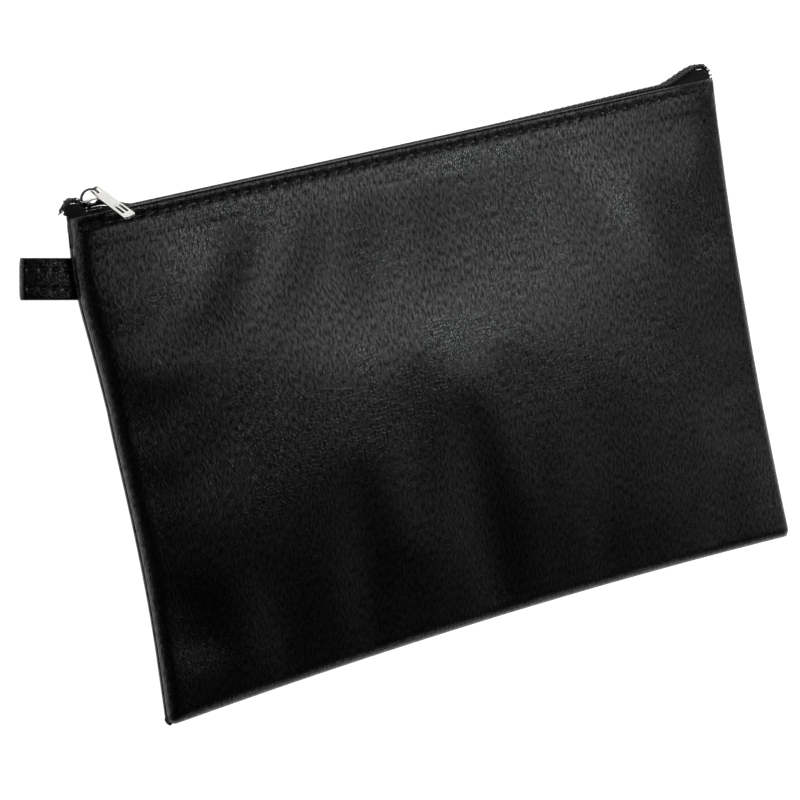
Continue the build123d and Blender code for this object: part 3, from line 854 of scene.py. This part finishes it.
# ---------------------------------------------------------------- slider, bridge and pull
def softened(node, name, body, width, segments=3, surface=metal):
    """A casting with its edges rounded, made from the CAD node's own shape."""
    source = bpy.data.objects[node]
    obj = bpy.data.objects.new(name, source.data.copy())
    bpy.context.scene.collection.objects.link(obj)
    obj.data.materials.clear()
    obj.data.materials.append(surface)
    weld = obj.modifiers.new("weld", "WELD")
    weld.merge_threshold = 0.004 * MM
    flat = obj.modifiers.new("flat", "DECIMATE")
    flat.decimate_type = "DISSOLVE"
    flat.angle_limit = radians(1.0)
    bevel = obj.modifiers.new("bevel", "BEVEL")
    bevel.width = width
    bevel.segments = segments
    bevel.limit_method = "ANGLE"
    bevel.angle_limit = radians(24)
    bevel.harden_normals = False
    apply_modifiers(obj)
    obj.data.polygons.foreach_set("use_smooth", [True] * len(obj.data.polygons))
    obj.data.set_sharp_from_angle(angle=radians(38))
    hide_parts(node)
    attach(obj, body)
    return obj


softened("slider_body", "slider_casting", "slider", 0.16 * MM)
# the arch's darker nickel is a painted dark reflection
softened("slider_bridge", "slider_arch", "slider", 0.16 * MM, surface=nickel_painted_dark)
softened("pull_tab", "pull_plate", "pull", 0.12 * MM)


# ---------------------------------------------------------------- hang loop
LOOP_WIDTH = 15.2 * MM
LOOP_LENGTH = 20.8 * MM
LOOP_TILT = radians(12)
LOOP_DROOP = radians(8)
LOOP_PLY = 1.15 * MM
LOOP_ROOT = 1.25 * MM  # outer face from the loop's middle plane, at the seam
LOOP_BELLY = 2.0 * MM  # and at its fullest
LOOP_STITCH_INSET = 4.2 * MM  # rows of stitches from the strap's edges
LOOP_STITCH_PITCH = 4.4 * MM
LOOP_STITCH_HALF = 1.65 * MM
LOOP_STITCH_START = 2.6 * MM  # middle of the first stitch from the root
LOOP_STITCH_COUNT = 4
LOOP_SINK = 1.6 * MM
loop_root = Vector(joints["loop_flex"]["pos_m"])
loop_axis = Vector((-cos(LOOP_DROOP) * cos(LOOP_TILT), cos(LOOP_DROOP) * sin(LOOP_TILT), -sin(LOOP_DROOP)))
loop_normal = Vector((-sin(LOOP_DROOP) * cos(LOOP_TILT), sin(LOOP_DROOP) * sin(LOOP_TILT), cos(LOOP_DROOP)))
loop_side = loop_normal.cross(loop_axis)


def loop_outer(t):
    """Outer face along the strap, from the root over the fold and back: t from -1 to 1, 0 at the fold."""
    run = LOOP_LENGTH - LOOP_BELLY
    straight = 0.86
    a = np.abs(t)
    side = np.where(t < 0, 1.0, -1.0)
    share = np.clip((1 - a) / straight, 0, 1)
    x = run * share
    z = LOOP_ROOT + (LOOP_BELLY - LOOP_ROOT) * ease(0.0, 0.8, share)
    bend = np.clip((1 - a - straight) / (1 - straight), 0, 1) * pi / 2
    x = x + LOOP_BELLY * 0.92 * np.sin(bend)
    z = np.where(bend > 0, LOOP_BELLY * np.cos(bend), z)
    return x, z * side


def build_loop():
    t = np.concatenate([np.linspace(-1, -0.16, 40), np.linspace(-0.14, 0.14, 15), np.linspace(0.16, 1, 40)])
    x, z = loop_outer(t)
    half = LOOP_WIDTH / 2
    edge = 0.9 * MM
    across = np.linspace(half, -half, 35)
    inset = half - np.abs(across)
    drop = 0.35 * MM * (1 - np.sqrt(1 - (1 - np.clip(inset / edge, 0, 1)) ** 2))
    rows = []
    channel_place = half - LOOP_STITCH_INSET
    for a, d in zip(across, drop):
        groove = 0.22 * MM * bell(0, 0.8 * MM, abs(a) - channel_place)
        dimple = 1 + 0.6 * np.cos(2 * pi * x / LOOP_STITCH_PITCH)
        inward = (d + groove * dimple * ease(0, 2 * MM, x) * (np.abs(t) > 0.15)) * np.sign(z)
        bow = 0.25 * MM * (1 - (a / half) ** 2) * np.sign(z) * ease(0, 6 * MM, x)
        along_x = x - 0.35 * MM * (abs(a) / half) ** 6 * (x / LOOP_LENGTH)
        rows.append(np.stack([along_x, np.full(len(x), a), z - inward + bow], -1))
    local = np.array(rows)
    # the root runs a little way into the seam
    local[..., 0] -= LOOP_SINK * (1 - ease(0, 3 * MM, local[..., 0]))
    basis = np.array([loop_axis, loop_side, loop_normal])
    points = np.array(loop_root) + local @ basis
    return local, points


loop_local, loop_points = build_loop()
# painted highlight along both long edges of the strap
loop_obj = grid_object(
    "hang_loop", loop_points, leather, flip=True, sheet=flat_coordinates(loop_points)[..., [1, 0, 2]],
    edge_highlight=np.clip(bell(0, 1.2 * MM, LOOP_WIDTH / 2 - np.abs(loop_local[..., 1])), 0, 1) * 0.9,
)
thicken(loop_obj, LOOP_PLY, knit)
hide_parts("loop_strap")


def flex(obj):
    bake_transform(obj)


flex(loop_obj)


def loop_stitches(sign, name, node):
    paths = []
    basis = np.array([loop_axis, loop_side, loop_normal])
    across = sign * (LOOP_WIDTH / 2 - LOOP_STITCH_INSET)
    for face in (1, -1):
        for n in range(LOOP_STITCH_COUNT):
            middle = LOOP_STITCH_START + LOOP_STITCH_PITCH * n
            path = []
            for t in np.linspace(-1, 1, 7):
                x = middle + t * LOOP_STITCH_HALF
                filled = ease(0, 0.8, x / (LOOP_LENGTH - LOOP_BELLY))
                z = LOOP_ROOT + (LOOP_BELLY - LOOP_ROOT) * filled + 0.1 * MM
                lift = 0.12 * MM - 0.7 * MM * max(abs(t) - 0.6, 0) / 0.4
                path.append(np.array(loop_root) + np.array([x, across, face * (z + lift)]) @ basis)
            paths.append(path)
    obj = tubes(name, paths, THREAD_RADIUS, 8, thread)
    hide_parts(node)
    flex(obj)


loop_stitches(-1, "loop_thread_upper", "loop_stitch_upper")
loop_stitches(1, "loop_thread_lower", "loop_stitch_lower")

# ---------------------------------------------------------------- pieces kept from CAD
for node in ("seam_thread_left", "seam_thread_right", "seam_thread_bottom"):
    bpy.data.objects[node].data.materials.clear()
    bpy.data.objects[node].data.materials.append(thread)
bpy.data.objects["loop_tail"].data.materials.clear()
bpy.data.objects["loop_tail"].data.materials.append(leather)


# ---------------------------------------------------------------- floor, light and camera
LIGHT_DISTANCE = 1.6
CAMERA_DISTANCE = 1.1332
CAMERA_LENS = 133.9


def studio():
    scene = bpy.context.scene
    scene.view_settings.view_transform = "Standard"
    scene.view_settings.look = "None"
    n = Nodes("floor_paper")
    speckle = n.noise(n.place((60, 60, 60)), detail=2)
    n.set(
        Base_Color=n.mix(speckle, (0.86, 0.86, 0.86, 1), (0.89, 0.89, 0.89, 1)),
        Roughness=0.9,
        Emission_Color=(1, 1, 1, 1),
        Emission_Strength=1.0,
        Specular_IOR_Level=0.0,
    )
    size = 6.0
    corners = [(-size, -size, 0), (size, -size, 0), (size, size, 0), (-size, size, 0)]
    floor = make_object("floor", corners, [(0, 1, 2, 3)], n.material)

    world = bpy.data.worlds.new("studio")
    scene.world = world
    world.use_nodes = True
    tree = world.node_tree
    sky = tree.nodes["Background"]
    where = tree.nodes.new("ShaderNodeTexCoord")
    split = tree.nodes.new("ShaderNodeSeparateXYZ")
    tree.links.new(where.outputs["Generated"], split.inputs[0])
    ramp = tree.nodes.new("ShaderNodeValToRGB")
    tree.links.new(split.outputs["Z"], ramp.inputs[0])
    ramp.color_ramp.elements[0].position = 0.0
    ramp.color_ramp.elements[0].color = (0.9, 0.9, 0.9, 1)
    ramp.color_ramp.elements[1].position = 0.75
    ramp.color_ramp.elements[1].color = (0.015, 0.016, 0.018, 1)
    tree.links.new(ramp.outputs[0], sky.inputs["Color"])
    sky.inputs["Strength"].default_value = 0.06

    def softbox(name, direction, distance, width, height, radiance, tint=(1, 1, 1)):
        light = bpy.data.lights.new(name, "AREA")
        light.shape = "RECTANGLE"
        light.size = width
        light.size_y = height
        light.energy = radiance * pi * width * height
        light.color = tint
        obj = bpy.data.objects.new(name, light)
        way = Vector(direction).normalized()
        obj.location = way * distance
        obj.rotation_euler = way.to_track_quat("Z", "Y").to_euler()
        scene.collection.objects.link(obj)

    softbox("key", (0.45, 0.05, 0.89), LIGHT_DISTANCE, 0.3, 0.34, 9.5, (0.97, 0.99, 1.0))
    softbox("right_fill", (0.64, 0.28, 0.72), LIGHT_DISTANCE, 0.36, 0.36, 4.4, (0.97, 0.99, 1.0))
    softbox("low_fill", (0.8, -0.32, 0.51), LIGHT_DISTANCE, 0.36, 0.36, 1.8)
    softbox("left_rim", (-0.9, 0.25, 0.30), LIGHT_DISTANCE, 0.4, 1.0, 1.2)
    softbox("top_rim", (-0.1, 0.95, 0.33), LIGHT_DISTANCE, 1.2, 0.4, 1.2)
    softbox("foot_rim", (0.2, -0.95, 0.30), LIGHT_DISTANCE, 1.2, 0.4, 0.8)

    camera = bpy.data.objects.new("camera", bpy.data.cameras.new("camera"))
    scene.collection.objects.link(camera)
    camera.data.sensor_width = 36
    camera.data.lens = CAMERA_LENS
    back = -Vector((0.4471, -0.1461, -0.8825)).normalized()
    up = Vector((0.2276, 0.9727, -0.0457))
    right = up.cross(back).normalized()
    up = back.cross(right)
    turn = Matrix((right, up, back)).transposed().to_4x4()
    aim = Vector((-0.0237, 0.0004, SEAM))
    camera.matrix_world = Matrix.Translation(aim + back * CAMERA_DISTANCE) @ turn
    camera.data.clip_start = 0.01
    scene.camera = camera


studio()
